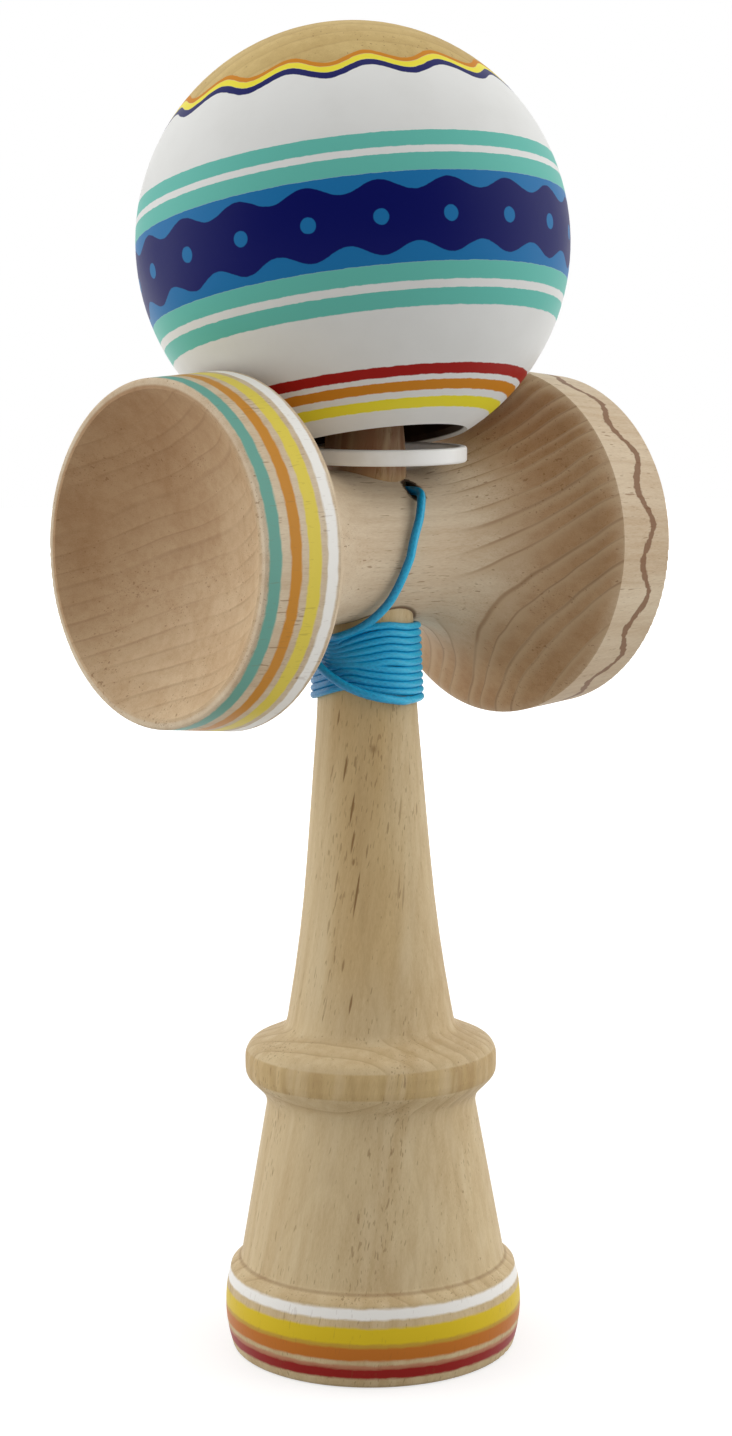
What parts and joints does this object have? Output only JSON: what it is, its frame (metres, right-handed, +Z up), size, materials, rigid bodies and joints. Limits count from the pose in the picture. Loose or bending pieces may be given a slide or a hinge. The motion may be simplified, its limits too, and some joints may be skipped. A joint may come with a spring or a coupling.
{
  "type": "kendama",
  "caption": "Wooden cup-and-ball toy on its base cup: turned handle with spike, cross-piece with a cup at each end, painted ball on the spike, loose ring and wound string.",
  "frame": {"origin": "middle of the base rim on the handle's axis, at the table", "axes": "+Z up the handle's axis to the spike, +X along the cross-piece towards the big cup, -Y towards the string hole"},
  "size_m": [0.0746, 0.0615, 0.1862],
  "materials": {
    "ken_wood": "bare beech with painted rings on the base rim",
    "sarado_wood": "bare beech with painted rings on the small cup",
    "ball_paint": "satin paint in bands, bare wood cap at the top",
    "ring_plastic": "plain white",
    "bead_wood": "bare",
    "string_blue": "braided"
  },
  "bodies": {
    "ken": {"ken": "ken_wood", "sarado": "sarado_wood", "ken_knot": "string_blue", "string_tail": "string_blue", "string_winding": "string_blue", "string_riser": "string_blue"},
    "ring": {"spacer_ring": "ring_plastic"},
    "string_end": {"bead": "bead_wood", "tama_knot": "string_blue", "string_lead": "string_blue"},
    "tama": {"tama": "ball_paint"}
  },
  "joints": [
    {"name": "ring_spin", "type": "hinge", "parent": "ken", "child": "ring", "pos_m": [0, -0.004, 0.126], "axis": [-0.035, -0.05, 0.9981], "continuous": true},
    {"name": "tama_lift", "type": "slide", "parent": "ken", "child": "string_end", "axis": [0, 0, 1], "range_m": [0, 0.045], "deforming": ["string_riser"]},
    {"name": "tama_spin", "type": "hinge", "parent": "string_end", "child": "tama", "pos_m": [-0.001, 0.0009, 0.15585], "axis": [0, 0.1564, 0.9877], "continuous": true}
  ]
}
